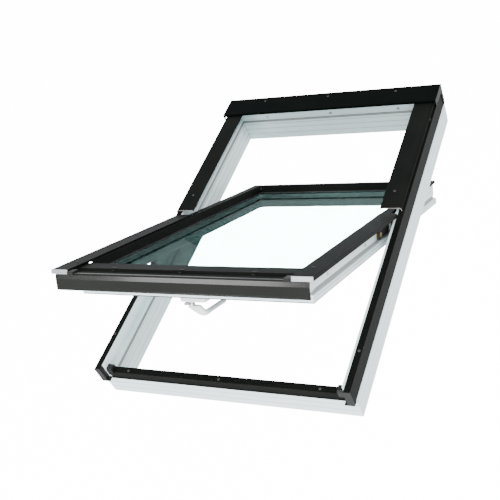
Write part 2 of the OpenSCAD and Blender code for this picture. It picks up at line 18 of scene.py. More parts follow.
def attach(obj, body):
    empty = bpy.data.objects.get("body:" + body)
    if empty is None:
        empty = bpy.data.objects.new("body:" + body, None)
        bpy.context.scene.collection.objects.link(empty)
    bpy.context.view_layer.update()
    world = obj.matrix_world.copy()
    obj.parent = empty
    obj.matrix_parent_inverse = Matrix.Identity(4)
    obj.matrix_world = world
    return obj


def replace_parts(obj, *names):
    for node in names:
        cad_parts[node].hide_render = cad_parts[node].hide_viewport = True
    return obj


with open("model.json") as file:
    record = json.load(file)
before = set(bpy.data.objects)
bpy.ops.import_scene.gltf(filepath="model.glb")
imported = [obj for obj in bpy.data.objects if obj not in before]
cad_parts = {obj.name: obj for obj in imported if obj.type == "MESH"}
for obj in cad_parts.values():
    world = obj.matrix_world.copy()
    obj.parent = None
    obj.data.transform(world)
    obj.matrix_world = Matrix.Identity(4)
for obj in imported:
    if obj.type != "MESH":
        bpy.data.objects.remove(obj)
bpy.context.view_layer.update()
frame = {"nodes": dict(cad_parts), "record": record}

# %% [markdown]
# The sash is easiest to describe shut, in the window's own millimetres. One
# turn about the pivot axis then carries it to the angle at which it stands.

# %% Shut sash to open sash
OPEN = math.radians(31.8)
PIVOT_Z = 128.0


def turned(points):
    """Rotates points (mm) about the line y = 0, z = 128, so the bottom rail swings out."""
    points = np.asarray(points, float)
    y, z = points[..., 1], points[..., 2] - PIVOT_Z
    c, s = math.cos(OPEN), -math.sin(OPEN)
    return np.stack([points[..., 0], y * c - z * s, y * s + z * c + PIVOT_Z], axis=-1)


print("bottom rail of the sash stands at", turned([0, -637, 86]).round(1))

# %% [markdown]
# Bent aluminium and extruded plastic have no sharp corners. A profile is drawn
# with corners, each corner is exchanged for a small curve, and the profile is
# carried along its run, drawn in a hair at both ends as a sawn edge is broken.


# %% Rounded profiles and runs
CORNER_SHARE = 0.45
SAME_POINT = 1e-6


def rounded(profile, radius, steps=5):
    """Each corner c becomes the curve (1-t)^2 a + 2t(1-t) c + t^2 b, from a to b.

    a and b lie one radius from the corner, on the two sides that meet there, and never
    further along a side than CORNER_SHARE of its length.
    """
    p = np.asarray(profile, float)
    back, ahead = np.roll(p, 1, 0) - p, np.roll(p, -1, 0) - p
    lb, la = np.linalg.norm(back, axis=1), np.linalg.norm(ahead, axis=1)
    cut = np.minimum(radius, CORNER_SHARE * np.minimum(lb, la))[:, None]
    a, b = p + back / lb[:, None] * cut, p + ahead / la[:, None] * cut
    t = np.linspace(0, 1, steps)[None, :, None]
    return ((1 - t) ** 2 * a[:, None] + 2 * t * (1 - t) * p[:, None] + t**2 * b[:, None]).reshape(-1, 2)


def outward(p):
    """Unit normals of a closed outline, the mean of the normals of the two sides that meet."""
    side = np.roll(p, -1, 0) - p
    n = np.stack([side[:, 1], -side[:, 0]], 1)
    n /= np.linalg.norm(n, axis=1)[:, None] + 1e-12
    m = n + np.roll(n, 1, 0)
    return m / (np.linalg.norm(m, axis=1)[:, None] + 1e-12)


def mesh_object(name, verts, faces, body, material, smooth=False):
    """Makes a closed mesh in metres, points its faces outwards, and hangs it on a CAD body."""
    mesh = bpy.data.meshes.new(name)
    mesh.from_pydata((np.asarray(verts) / 1000.0).tolist(), [], [list(map(int, f)) for f in faces])
    bm = bmesh.new()
    bm.from_mesh(mesh)
    bmesh.ops.remove_doubles(bm, verts=bm.verts, dist=SAME_POINT)
    bmesh.ops.recalc_face_normals(bm, faces=bm.faces)
    bm.to_mesh(mesh)
    bm.free()
    mesh.polygons.foreach_set("use_smooth", [smooth] * len(mesh.polygons))
    obj = bpy.data.objects.new(name, mesh)
    bpy.context.scene.collection.objects.link(obj)
    mesh.materials.append(material)
    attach(obj, body)
    return obj


def capped(rings, count):
    """Quads between neighbouring rings of equal count, and the first and last ring filled."""
    i = np.arange(rings - 1)[:, None]
    j = np.arange(count)[None, :]
    k = (j + 1) % count
    quads = np.stack([i * count + j, i * count + k, (i + 1) * count + k, (i + 1) * count + j], -1)
    ends = [list(range(count)), list(range((rings - 1) * count, rings * count))]
    return quads.reshape(-1, 4).tolist() + ends


def run(profile, axis, start, end, radius=0.8, mirror=1, draw_in=0.35):
    """Profile carried along X or Y: point(i, s) = outline_i - inset(s) * normal_i.

    s is the distance along the run; the inset is draw_in at both ends and nothing between.
    """
    p = rounded(profile, radius)
    area = 0.5 * np.sum(p[:, 0] * np.roll(p[:, 1], -1) - np.roll(p[:, 0], -1) * p[:, 1])
    p = p if area > 0 else p[::-1]
    n = outward(p)
    s = np.array([start, start + draw_in, end - draw_in, end])
    inset = np.array([draw_in, 0, 0, draw_in])
    q = p[None] - inset[:, None, None] * n[None]
    along = np.broadcast_to(s[:, None], q.shape[:2])
    if axis == "y":
        pts = np.stack([q[..., 0] * mirror, along, q[..., 1]], -1)
    else:
        pts = np.stack([along, q[..., 0], q[..., 1]], -1)
    return pts.reshape(-1, 3), capped(len(s), len(p))


def joined(parts):
    """Several (points, faces) put together as one."""
    verts, faces, base = [], [], 0
    for v, f in parts:
        verts.append(np.asarray(v, float))
        faces += [[i + base for i in face] for face in f]
        base += len(v)
    return np.concatenate(verts), faces


# %% [markdown]
# ## Finishes
# Effects that several finishes share are node groups, built once: a fine grain
# for the orange-peel skin of powder coat and moulded plastic, and a film of
# dust that lies in soft patches. Each finish then feeds them its own numbers.


# %% Shared node groups
def new_group(name, inputs, outputs):
    """A node group with inputs (label, kind, value) and outputs (label, kind)."""
    g = bpy.data.node_groups.new(name, "ShaderNodeTree")
    for label, kind, value in inputs:
        g.interface.new_socket(label, in_out="INPUT", socket_type=kind).default_value = value
    for label, kind in outputs:
        g.interface.new_socket(label, in_out="OUTPUT", socket_type=kind)
    return g, g.nodes.new("NodeGroupInput"), g.nodes.new("NodeGroupOutput")


FLOAT = "NodeSocketFloat"


def grain_group():
    """Noise at one scale for height, and a slower noise for a patchy value between 0 and 1."""
    g, i, o = new_group("fine_grain", [("Scale", FLOAT, 900.0), ("Patch", FLOAT, 6.0)],
                        [("Height", FLOAT), ("Patches", FLOAT)])
    co = g.nodes.new("ShaderNodeTexCoord")
    fine = g.nodes.new("ShaderNodeTexNoise")
    slow = g.nodes.new("ShaderNodeTexNoise")
    fine.inputs["Detail"].default_value = 3.0
    slow.inputs["Detail"].default_value = 4.0
    for node, key, out in ((fine, "Scale", "Height"), (slow, "Patch", "Patches")):
        g.links.new(co.outputs["Object"], node.inputs["Vector"])
        g.links.new(i.outputs[key], node.inputs["Scale"])
        g.links.new(node.outputs["Fac"], o.inputs[out])
    return g


def film_group():
    """A dust mask: soft patches of noise, cut to the stated amount, broken up by a finer speckle."""
    g, i, o = new_group("dust_film", [("Amount", FLOAT, 0.2), ("Scale", FLOAT, 9.0)], [("Mask", FLOAT)])
    co = g.nodes.new("ShaderNodeTexCoord")
    patch, speck = g.nodes.new("ShaderNodeTexNoise"), g.nodes.new("ShaderNodeTexNoise")
    patch.inputs["Detail"].default_value = 6.0
    speck.inputs["Scale"].default_value = 420.0
    ramp = g.nodes.new("ShaderNodeMapRange")
    mul, amt = g.nodes.new("ShaderNodeMath"), g.nodes.new("ShaderNodeMath")
    ramp.inputs["From Min"].default_value, ramp.inputs["From Max"].default_value = 0.45, 0.75
    mul.operation = amt.operation = "MULTIPLY"
    g.links.new(co.outputs["Object"], patch.inputs["Vector"])
    g.links.new(co.outputs["Object"], speck.inputs["Vector"])
    g.links.new(i.outputs["Scale"], patch.inputs["Scale"])
    g.links.new(patch.outputs["Fac"], ramp.inputs["Value"])
    g.links.new(ramp.outputs["Result"], mul.inputs[0])
    g.links.new(speck.outputs["Fac"], mul.inputs[1])
    g.links.new(mul.outputs[0], amt.inputs[0])
    g.links.new(i.outputs["Amount"], amt.inputs[1])
    g.links.new(amt.outputs[0], o.inputs["Mask"])
    return g


GRAIN, FILM = grain_group(), film_group()
print("shared groups:", GRAIN.name, FILM.name)


# %% [markdown]
# A finish is a Principled shader whose colour drifts between two close shades,
# whose roughness follows the same patches, and whose bump is the fine grain.


# %% One function for most finishes
def finish(name, dark, light, rough, rough_spread=0.06, grain=900.0, bump=0.04, patch=6.0, dust=0.0,
           dust_colour=(0.42, 0.41, 0.38, 1), metallic=0.0, coat=0.0, coat_rough=0.1, specular=0.5,
           stretch=None):
    """Principled shader: colour = dark + patches * (light - dark), roughness = rough -+ spread.

    Dust is laid over the colour. A stretch (x, y, z) swaps the grain for drawn-out lines.
    """
    m = bpy.data.materials.new(name)
    m.use_nodes = True
    t = m.node_tree
    p = t.nodes["Principled BSDF"]
    g = t.nodes.new("ShaderNodeGroup")
    g.node_tree = GRAIN
    g.inputs["Scale"].default_value, g.inputs["Patch"].default_value = grain, patch
    mix = t.nodes.new("ShaderNodeMix")
    mix.data_type = "RGBA"
    mix.inputs["A"].default_value, mix.inputs["B"].default_value = (*dark, 1), (*light, 1)
    t.links.new(g.outputs["Patches"], mix.inputs["Factor"])
    colour = mix.outputs["Result"]
    if dust:
        f = t.nodes.new("ShaderNodeGroup")
        f.node_tree = FILM
        f.inputs["Amount"].default_value = dust
        over = t.nodes.new("ShaderNodeMix")
        over.data_type = "RGBA"
        over.inputs["B"].default_value = dust_colour
        t.links.new(f.outputs["Mask"], over.inputs["Factor"])
        t.links.new(colour, over.inputs["A"])
        colour = over.outputs["Result"]
    t.links.new(colour, p.inputs["Base Color"])
    r = t.nodes.new("ShaderNodeMapRange")
    r.inputs["To Min"].default_value = rough - rough_spread
    r.inputs["To Max"].default_value = rough + rough_spread
    t.links.new(g.outputs["Patches"], r.inputs["Value"])
    t.links.new(r.outputs["Result"], p.inputs["Roughness"])
    height = g.outputs["Height"]
    if stretch:
        co, mp, nz = (t.nodes.new(k) for k in ("ShaderNodeTexCoord", "ShaderNodeMapping",
                                               "ShaderNodeTexNoise"))
        mp.inputs["Scale"].default_value = stretch
        nz.inputs["Scale"].default_value = 1.0
        nz.inputs["Detail"].default_value = 4.0
        t.links.new(co.outputs["Object"], mp.inputs["Vector"])
        t.links.new(mp.outputs["Vector"], nz.inputs["Vector"])
        height = nz.outputs["Fac"]
    b = t.nodes.new("ShaderNodeBump")
    b.inputs["Strength"].default_value, b.inputs["Distance"].default_value = bump, 0.001
    t.links.new(height, b.inputs["Height"])
    t.links.new(b.outputs["Normal"], p.inputs["Normal"])
    p.inputs["Metallic"].default_value = metallic
    p.inputs["Coat Weight"].default_value = coat
    p.inputs["Coat Roughness"].default_value = coat_rough
    p.inputs["Specular IOR Level"].default_value = specular
    return m


# %% [markdown]
# White window plastic is smooth, a little glossy, and has shallow ridges along
# its run, whose shade is painted as darker lines. At each corner the bars are
# welded and the bead is scraped off, which leaves a thin line across the corner.
# Both kinds of line are drawn as a darker colour and not as relief.


# %% White plastic with welded corners and painted ridge shade
WELD_HALF, WELD_START = 0.0007, -0.002
# Painted shade: thin darker lines at the ridge heights stand in for the shade of the ridges.
SHADED_RIDGE_HALF, SHADED_RIDGE_SHARE = 0.0016, 0.8
WELD_AND_SHADE_COLOUR, WELD_AND_SHADE_SHARE = (0.36, 0.37, 0.37, 1), 0.7


def white_plastic(name, corners, ridge_shade_heights, sash):
    """White finish with darker lines, weld lines and painted ridge shade, whose mask is the largest of
    these (metres).

    Weld: 1 where |y - y0 - slope (|x| - x0)| < WELD_HALF and |x| - x0 > WELD_START.
    Painted ridge shade: SHADED_RIDGE_SHARE where |height - z| < SHADED_RIDGE_HALF.
    """
    m = finish(name, (0.72, 0.84, 0.86), (0.82, 0.91, 0.925), 0.26, 0.05, grain=500, bump=0.02,
               patch=3.0, dust=0.10, dust_colour=(0.55, 0.54, 0.5, 1), coat=0.15, coat_rough=0.15)
    t = m.node_tree
    p = t.nodes["Principled BSDF"]
    co = t.nodes.new("ShaderNodeTexCoord")
    mp = t.nodes.new("ShaderNodeMapping")
    mp.vector_type = "POINT"
    if sash:
        mp.inputs["Rotation"].default_value = (OPEN, 0, 0)
        back = Matrix.Rotation(OPEN, 4, "X") @ Vector((0, 0, -PIVOT_Z / 1000))
        mp.inputs["Location"].default_value = back + Vector((0, 0, PIVOT_Z / 1000))
    t.links.new(co.outputs["Object"], mp.inputs["Vector"])
    sep = t.nodes.new("ShaderNodeSeparateXYZ")
    t.links.new(mp.outputs["Vector"], sep.inputs[0])

    def math_node(op, a, b=None):
        n = t.nodes.new("ShaderNodeMath")
        n.operation = op
        for k, v in enumerate((a, b)):
            if v is None:
                continue
            if isinstance(v, (int, float)):
                n.inputs[k].default_value = v
            else:
                t.links.new(v, n.inputs[k])
        return n.outputs[0]

    ax = math_node("ABSOLUTE", sep.outputs["X"])
    marks = []
    for x0, y0, slope in corners:
        across = math_node("SUBTRACT", ax, x0)
        up = math_node("SUBTRACT", sep.outputs["Y"], y0)
        miss = math_node("ABSOLUTE", math_node("SUBTRACT", up, math_node("MULTIPLY", across, slope)))
        near = math_node("LESS_THAN", miss, WELD_HALF)
        inside = math_node("GREATER_THAN", across, WELD_START)
        marks.append(math_node("MULTIPLY", near, inside))
    # Painted shade: a darker line at each ridge height, for the shade of the profile's ridges.
    for z in ridge_shade_heights:
        away = math_node("ABSOLUTE", math_node("SUBTRACT", sep.outputs["Z"], z))
        marks.append(math_node("MULTIPLY", math_node("LESS_THAN", away, SHADED_RIDGE_HALF), SHADED_RIDGE_SHARE))
    weld_and_shade_mask = marks[0]
    for extra in marks[1:]:
        weld_and_shade_mask = math_node("MAXIMUM", weld_and_shade_mask, extra)
    old = p.inputs["Base Color"].links[0].from_socket
    # Weld lines and painted ridge shade are laid over the colour together.
    weld_and_shade_lines = t.nodes.new("ShaderNodeMix")
    weld_and_shade_lines.data_type = "RGBA"
    weld_and_shade_lines.inputs["B"].default_value = WELD_AND_SHADE_COLOUR
    t.links.new(math_node("MULTIPLY", weld_and_shade_mask, WELD_AND_SHADE_SHARE), weld_and_shade_lines.inputs["Factor"])
    t.links.new(old, weld_and_shade_lines.inputs["A"])
    t.links.new(weld_and_shade_lines.outputs["Result"], p.inputs["Base Color"])
    return m


# The last list in each call gives the heights (m) where ridge shade is painted.
PVC_FRAME = white_plastic("white_plastic_frame", [(0.350, 0.550, 1.0), (0.350, -0.570, -0.5)],
                          [0.024, 0.047, 0.068], False)
PVC_SASH = white_plastic("white_plastic_sash", [(0.312, 0.492, 1.0), (0.312, -0.520, -1.0)],
                         [0.066, 0.104], True)

# %% [markdown]
# The outside sheets are aluminium with a dark grey-brown powder coat, satin,
# with a slight orange peel. The hood has the same coat, painted darker as shade.

# %% Coats, plastics and metals
COAT = finish("umbra_coat", (0.0034, 0.0040, 0.0034), (0.0052, 0.0058, 0.0050), 0.45, 0.05,
              grain=1400, bump=0.05, patch=5.0, dust=0.008, specular=0.025)
# Painted shade: the hood's copy of the coat is darker than the same coat elsewhere.
SHADED_HOOD_COAT = finish("umbra_coat_hood_painted_shade", (0.0006, 0.0014, 0.0011), (0.0012, 0.0020, 0.0016), 0.42, 0.05,
                   grain=1400, bump=0.05, patch=5.0, dust=0.004, specular=0.015)
COAT_APRON = finish("umbra_coat_apron", (0.0045, 0.0048, 0.0036), (0.0068, 0.0070, 0.0054), 0.26, 0.03,
                    grain=1400, bump=0.03, patch=5.0, dust=0.008, specular=0.20, coat=0.22,
                    coat_rough=0.12)
COAT_UPPER = finish("umbra_coat_cut_end_and_highlight", (0.0036, 0.0042, 0.0036), (0.0058, 0.0064, 0.0055), 0.40, 0.05,
                    grain=1400, bump=0.07, patch=5.0, dust=0.008, specular=0.02)
DARK_HEAD = finish("coated_heads", (0.035, 0.035, 0.033), (0.06, 0.06, 0.056), 0.5, 0.06,
                   grain=2200, bump=0.06, patch=60.0, specular=0.1)
BLACK = finish("moulded_black", (0.004, 0.0045, 0.004), (0.008, 0.0085, 0.0075), 0.5, 0.07,
               grain=1800, bump=0.12, patch=20.0, dust=0.02, specular=0.25)
RUBBER = finish("black_gasket", (0.010, 0.010, 0.010), (0.020, 0.020, 0.020), 0.6, 0.08,
                grain=1200, bump=0.08, patch=14.0, dust=0.12)
GREY_LIP = finish("grey_sealing_lip", (0.20, 0.21, 0.21), (0.27, 0.28, 0.28), 0.55, 0.06,
                  grain=1100, bump=0.06, patch=14.0, dust=0.1)
ZINC = finish("zinc_plate", (0.42, 0.43, 0.44), (0.60, 0.61, 0.63), 0.34, 0.08,
              grain=2600, bump=0.1, patch=60.0, metallic=1.0)
STEEL = finish("turned_steel", (0.50, 0.50, 0.51), (0.62, 0.62, 0.63), 0.24, 0.05,
               grain=2200, bump=0.05, patch=40.0, metallic=1.0)
YELLOW = finish("yellow_passivated", (0.42, 0.29, 0.10), (0.60, 0.50, 0.26), 0.34, 0.08,
                grain=1900, bump=0.08, patch=38.0, metallic=1.0)
MILL = finish("mill_aluminium", (0.52, 0.53, 0.54), (0.64, 0.65, 0.66), 0.38, 0.06,
              bump=0.06, patch=10.0, metallic=1.0, stretch=(3000, 30, 3000))
# Dark grey paint that stands in for the shade on the grip's inner face.
GRIP_PAINTED_SHADE = finish("grip_painted_shade_paint", (0.07, 0.065, 0.06), (0.10, 0.095, 0.09), 0.55, 0.05,
                   grain=1500, bump=0.08, patch=30.0)
LACQUER = finish("white_lacquer", (0.84, 0.85, 0.86), (0.88, 0.89, 0.89), 0.22, 0.04,
                 grain=800, bump=0.02, patch=20.0, dust=0.04, coat=0.4, coat_rough=0.08)


# %% [markdown]
# The upper covers are sawn to length after coating, so their lower ends show
# bare aluminium; the thin light line there is that and a painted highlight.


# %% Bare metal and a painted highlight at a sawn end
UPPER_COVER_RUN = (22, 530)
# Painted highlight: the light band at the cut end is partly bare metal and partly a painted highlight.
SAWN_AND_HIGHLIGHT_BAND = 0.6
SAWN_METAL_AND_HIGHLIGHT = (0.42, 0.39, 0.36, 1)


def bare_end_and_highlight(material, y):
    """Mask 1 where the height up the slope is below y (m), so only the sawn end turns light, as bare metal
    and painted highlight.
    """
    t = material.node_tree
    p = t.nodes["Principled BSDF"]
    co, sep, cut, mix = (t.nodes.new(k) for k in ("ShaderNodeTexCoord", "ShaderNodeSeparateXYZ",
                                                  "ShaderNodeMath", "ShaderNodeMix"))
    cut.operation = "LESS_THAN"
    cut.inputs[1].default_value = y
    mix.data_type = "RGBA"
    mix.inputs["B"].default_value = SAWN_METAL_AND_HIGHLIGHT
    t.links.new(co.outputs["Object"], sep.inputs[0])
    t.links.new(sep.outputs["Y"], cut.inputs[0])
    t.links.new(p.inputs["Base Color"].links[0].from_socket, mix.inputs["A"])
    t.links.new(cut.outputs[0], mix.inputs["Factor"])
    t.links.new(mix.outputs["Result"], p.inputs["Base Color"])


bare_end_and_highlight(COAT_UPPER, (UPPER_COVER_RUN[0] + SAWN_AND_HIGHLIGHT_BAND) / 1000)
print("bare ends on", COAT_UPPER.name)

# %% [markdown]
# Each pane is drawn as float glass with most of its mirror image left out, a
# studio choice: most of what meets it goes straight on, dimmed by a cool tint
# that also holds a painted darkening of what is seen through it.
# On shadow rays a Light Path node lets all light go on, with a paler tint.


# %% Glass
CLEAN, DUSTY = (0.22, 0.295, 0.285, 1), (0.24, 0.31, 0.30, 1)
# The seen tint is the glass's cool tint plus painted darkening; the shadow tint is the glass's own.
SEEN_TINT_WITH_PAINTED_DARKENING, SHADOW_TINT = (0.48, 0.54, 0.53, 1), (0.74, 0.84, 0.83, 1)
STRAIGHT_ON = 0.92


def glass():
    """Shader = (1 - share) * Principled glass + share * clear tint.

    share = max(shadow ray, STRAIGHT_ON), and the tint is paler on shadow rays; the darker tint on other
    rays is partly painted darkening.
    """
    m = bpy.data.materials.new("float_glass")
    m.use_nodes = True
    t = m.node_tree
    p = t.nodes["Principled BSDF"]
    p.inputs["Transmission Weight"].default_value = 1.0
    p.inputs["IOR"].default_value = 1.45
    p.inputs["Metallic"].default_value = 0.0
    p.inputs["Specular IOR Level"].default_value = 0.2
    g = t.nodes.new("ShaderNodeGroup")
    g.node_tree = FILM
    g.inputs["Amount"].default_value, g.inputs["Scale"].default_value = 0.03, 3.0
    mix = t.nodes.new("ShaderNodeMix")
    mix.data_type = "RGBA"
    mix.inputs["A"].default_value, mix.inputs["B"].default_value = CLEAN, DUSTY
    t.links.new(g.outputs["Mask"], mix.inputs["Factor"])
    t.links.new(mix.outputs["Result"], p.inputs["Base Color"])
    r = t.nodes.new("ShaderNodeMapRange")
    r.inputs["To Min"].default_value, r.inputs["To Max"].default_value = 0.0, 0.03
    t.links.new(g.outputs["Mask"], r.inputs["Value"])
    t.links.new(r.outputs["Result"], p.inputs["Roughness"])
    path, clear, swap, share, tint = (t.nodes.new(k) for k in (
        "ShaderNodeLightPath", "ShaderNodeBsdfTransparent", "ShaderNodeMixShader", "ShaderNodeMath",
        "ShaderNodeMix"))
    share.operation = "MAXIMUM"
    share.inputs[1].default_value = STRAIGHT_ON
    tint.data_type = "RGBA"
    tint.inputs["A"].default_value, tint.inputs["B"].default_value = SEEN_TINT_WITH_PAINTED_DARKENING, SHADOW_TINT
    t.links.new(path.outputs["Is Shadow Ray"], tint.inputs["Factor"])
    t.links.new(tint.outputs["Result"], clear.inputs["Color"])
    t.links.new(path.outputs["Is Shadow Ray"], share.inputs[0])
    t.links.new(share.outputs[0], swap.inputs["Fac"])
    t.links.new(p.outputs["BSDF"], swap.inputs[1])
    t.links.new(clear.outputs["BSDF"], swap.inputs[2])
    t.links.new(swap.outputs["Shader"], t.nodes["Material Output"].inputs["Surface"])
    return m


GLASS = glass()

# %% [markdown]
# CAD parts keep their shape and take the finish of the slot they are listed
# under. Frame and sash get their own white, for the lines at their corners.

# %% Finishes on the CAD parts
BY_SLOT = {
    "pvc_white": PVC_FRAME, "seal_grey": GREY_LIP, "clad_umbra": COAT, "clad_hood": SHADED_HOOD_COAT,
    "plastic_black": BLACK, "steel_zinc": ZINC, "steel_bright": STEEL, "hinge_yellow": YELLOW,
    "gasket_black": RUBBER, "glass_clear": GLASS, "spacer_alu": MILL, "handle_white": LACQUER,
}
for part in frame["record"]["subparts"]:
    node = frame["nodes"][part["node"]]
    node.data.materials.clear()
    node.data.materials.append(PVC_SASH if part["node"] == "sash_pvc" else BY_SLOT[part["material_slot"]])

# %% [markdown]
# ## Fixed outside sheets
# The side sheets clip over the jambs and end in black caps. They are drawn as
# one folded profile with small bends, and so is the sheet over the bottom bar.

# %% Side and bottom sheets
SIDES = (("left", -1), ("right", 1))
SIDE = [(388.5, 75), (388.5, 128), (370.3, 128), (370.3, 126.5), (387, 126.5), (387, 75)]
SIDE_RUN = (-605, 590)
for label, s in SIDES:
    v, f = run(SIDE, "y", *SIDE_RUN, 0.9, s)
    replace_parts(mesh_object(f"side_sheet_{label}", v, f, "frame", COAT),
                f"side_cladding_{label}")
SILL = [(-571, 97), (-571, 98.5), (-591.5, 98.5), (-591.5, 74), (-594, 71), (-593, 70), (-590, 73),
        (-590, 97)]
SILL_HALF = 361.1
v, f = run(SILL, "x", -SILL_HALF, SILL_HALF, 0.9)
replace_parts(mesh_object("bottom_sheet", v, f, "frame", COAT), "frame_bottom_cladding")
print("side and bottom sheets made")

# %% [markdown]
# The hood is one long pressed cover. Its front edge is rolled under, which
# stiffens it and gives a soft line of light along the edge.

# %% Hood and upper covers
HOOD = [(507, 144), (505.8, 145), (505.8, 150), (508, 152), (594, 152), (595, 151), (595, 78),
        (593.5, 78), (593.5, 150.5), (508.6, 150.5), (507.4, 149.2), (507.4, 145.4), (511, 145.4),
        (511, 144)]
HOOD_HALF = 389.5
v, f = run(HOOD, "x", -HOOD_HALF, HOOD_HALF, 0.7)
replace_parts(mesh_object("hood_sheet", v, f, "frame", SHADED_HOOD_COAT), "head_hood")


def shoulder(x, z, r, n=9):
    """Quarter circle from straight up to straight out, centre (x, z)."""
    a = np.linspace(math.pi / 2, 0, n)
    return np.stack([x + r * np.cos(a), z + r * np.sin(a)], 1)


UPPER = np.concatenate([[(318.5, 139), (318.5, 144)], shoulder(375, 136, 8), [(383, 132), (381.5, 132)],
                        shoulder(375, 136, 6.5)[::-1], [(320, 142.5), (320, 139)]])
for label, s in SIDES:
    v, f = run(UPPER, "y", *UPPER_COVER_RUN, 0.5, s)
    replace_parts(mesh_object(f"upper_sheet_{label}", v, f, "frame", COAT_UPPER),
                f"upper_cover_{label}")
print("hood and upper covers made")

# %% [markdown]
# ## Sheets on the sash
# These are drawn for the shut sash and turned with it: two covers over the
# lower half, the trims that hold the glass edge, the cap that sheds water
# over the bottom edge, and the apron whose ribs catch the light in bands.

# %% Sash sheets
COVER = [(321.7, 136.5), (321.7, 141), (375.5, 141), (375.5, 129.7), (374, 129.7), (374, 138.8),
         (373.3, 139.5), (323.2, 139.5), (323.2, 136.5)]
COVER_TAIL = [(321.7, 136.5), (321.7, 141), (362, 141), (362, 139.5), (323.2, 139.5), (323.2, 136.5)]
COVER_RUN, TAIL_RUN = (-635, -8), (-8.3, 4)
FOLD = [(317, 136), (345, 136), (345, 127), (343.5, 127), (343.5, 134.5)]
TRIM = [(310.5, 112), *FOLD, (318.2, 134.5), (312.4, 112)]
TRIM_FLAT = [(328, 125.7), (328, 136), *FOLD[1:], (329.5, 134.5), (329.5, 125.7)]
TRIM_AT_HINGE = [(310.5, 112), (317, 136), (334, 136), (334, 134.5), (318.2, 134.5), (312.4, 112)]
TRIM_HIGH = [(314.3, 126), *FOLD, (318.2, 134.5), (315.9, 126)]
TRIM_RUNS = [(TRIM_FLAT, -546.5, -535.3), (TRIM, -535.5, -104), (TRIM_AT_HINGE, -104.2, 16.2),
             (TRIM, 16, 505.4), (TRIM_HIGH, 505.2, 520)]
for label, s in SIDES:
    v, f = joined([run(COVER, "y", *COVER_RUN, 1.0, s), run(COVER_TAIL, "y", *TAIL_RUN, 0.6, s)])
    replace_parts(mesh_object(f"sash_sheet_{label}", turned(v), f, "sash", COAT),
                f"sash_cover_{label}")
    v, f = joined([run(outline, "y", low, high, 0.6, s) for outline, low, high in TRIM_RUNS])
    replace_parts(mesh_object(f"side_trim_{label}", turned(v), f, "sash", COAT),
                f"sash_cladding_{label}")
TOP = [(496, 112), (502, 136), (520, 136), (520, 127), (518.5, 127), (518.5, 134.5), (503.2, 134.5),
       (497.9, 112)]
TOP_HALF = 310
v, f = run(TOP, "x", -TOP_HALF, TOP_HALF, 0.6)
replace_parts(mesh_object("top_trim", turned(v), f, "sash", COAT), "sash_cladding_top")
APRON_FACE = [(-635.5, 86), (-638, 86), (-638, 88), (-637, 89.5), (-637, 115.2), (-634, 127.4),
              (-632.5, 128)]
APRON_INSIDE = [(-630.6, 126.4), (-632.8, 125.6), (-635.5, 115)]
APRON = APRON_FACE + [(-632.5, 131), (-637, 131), (-637, 132.6), (-630.6, 132.6)] + APRON_INSIDE
APRON_END = APRON_FACE + [(-630.6, 128)] + APRON_INSIDE
v, f = joined([run(APRON, "x", -320.5, 320.5, 0.6), run(APRON_END, "x", -365.5, -320.3, 0.6),
               run(APRON_END, "x", 320.3, 365.5, 0.6)])
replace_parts(mesh_object("apron_rail", turned(v), f, "sash", COAT_APRON), "bottom_apron")
CAP_FACE = [(-592, 134), (-596, 128), (-630.4, 128), (-630.4, 126.4), (-595.2, 126.4), (-591.2, 132.5)]
CAP = [(-536, 112), (-546, 134), *CAP_FACE, (-547, 132.5), (-538, 112)]
CAP_END = [(-547, 132.5), (-547, 134), *CAP_FACE]
v, f = joined([run(CAP, "x", -327, 327, 0.7), run(CAP_END, "x", -361, -326.8, 0.6),
               run(CAP_END, "x", 326.8, 361, 0.6)])
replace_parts(mesh_object("drip_cap", turned(v), f, "sash", COAT), "glazing_cap")
print("sash sheets made")

# %% [markdown]
# ## Screws
# A screw head is a low dome with a six-lobed socket. The surface is a set of
# rings: their radius is plain outside, and inside the socket it swells and
# shrinks six times round.


# %% Screw heads
def frame_of(axis):
    """Two unit vectors square to the axis, and the axis itself, as columns."""
    w = np.asarray(axis, float) / np.linalg.norm(axis)
    u = np.cross(w, [1.0, 0, 0] if abs(w[0]) < 0.8 else [0, 1.0, 0])
    u /= np.linalg.norm(u)
    return np.stack([u, np.cross(w, u), w], 1)


LOBES, LOBE_SHARE = 6, 0.2


def head(at, axis, radius, height, star=0.5, depth=0.7, n=48):
    """Rings (radius, height): rim, dome, then the socket, its wall and its floor.

    The socket's radius is r(a) = star * radius * (1 + 0.2 cos 6a), and it goes down by the
    share depth of the height.
    """
    a = np.linspace(0, 2 * math.pi, n, endpoint=False)
    lobes = star * radius * (1 + LOBE_SHARE * np.cos(LOBES * a))
    one = np.ones(n)
    rs = [radius * one, radius * one, 0.96 * radius * one, 0.86 * radius * one, 0.72 * radius * one, lobes,
          lobes * 0.96, lobes * 0.05]
    zs = [-0.3, height * 0.35, height * 0.62, height * 0.85, height * 0.97, height, height * (1 - depth),
          height * (1 - depth)]
    ring = np.stack([np.stack([r * np.cos(a), r * np.sin(a), z * one], 1) for r, z in zip(rs, zs)])
    return ring.reshape(-1, 3) @ frame_of(axis).T + np.asarray(at, float), capped(len(rs), n)


def screws(name, node, body, heads, sash=False, material=ZINC):
    """Joins the heads of one kind into one object that stands for the CAD node."""
    v, f = joined(heads)
    v = turned(v) if sash else v
    obj = mesh_object(name, v, f, body, material)
    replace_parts(obj, node)
    print(name, len(heads), "heads")


